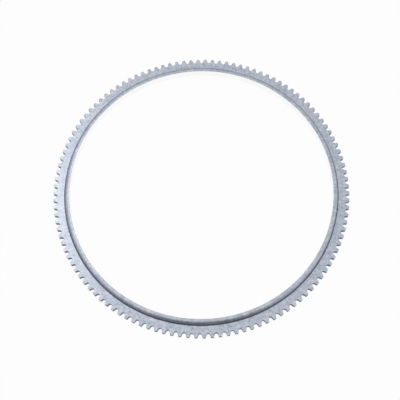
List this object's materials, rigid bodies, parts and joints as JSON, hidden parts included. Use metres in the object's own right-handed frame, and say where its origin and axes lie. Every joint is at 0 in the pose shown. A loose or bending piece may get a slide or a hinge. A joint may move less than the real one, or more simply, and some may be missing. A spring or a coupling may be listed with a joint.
{
  "type": "abs tone ring",
  "caption": "Steel tone ring: a flat flange with fine radial teeth for a wheel-speed sensor to read, and a low round-shouldered collar whose bore presses onto the wheel hub.",
  "frame": {"origin": "centre of the flange's underside, on the ring's axis", "axes": "+Z along the ring's axis, from the flange towards the collar's rim; one tooth is centred on +X"},
  "size_m": [0.23, 0.23, 0.0081],
  "materials": {
    "plated_steel": "satin zinc plate"
  },
  "bodies": {
    "root": {"tone_ring": "plated_steel"}
  },
  "joints": []
}
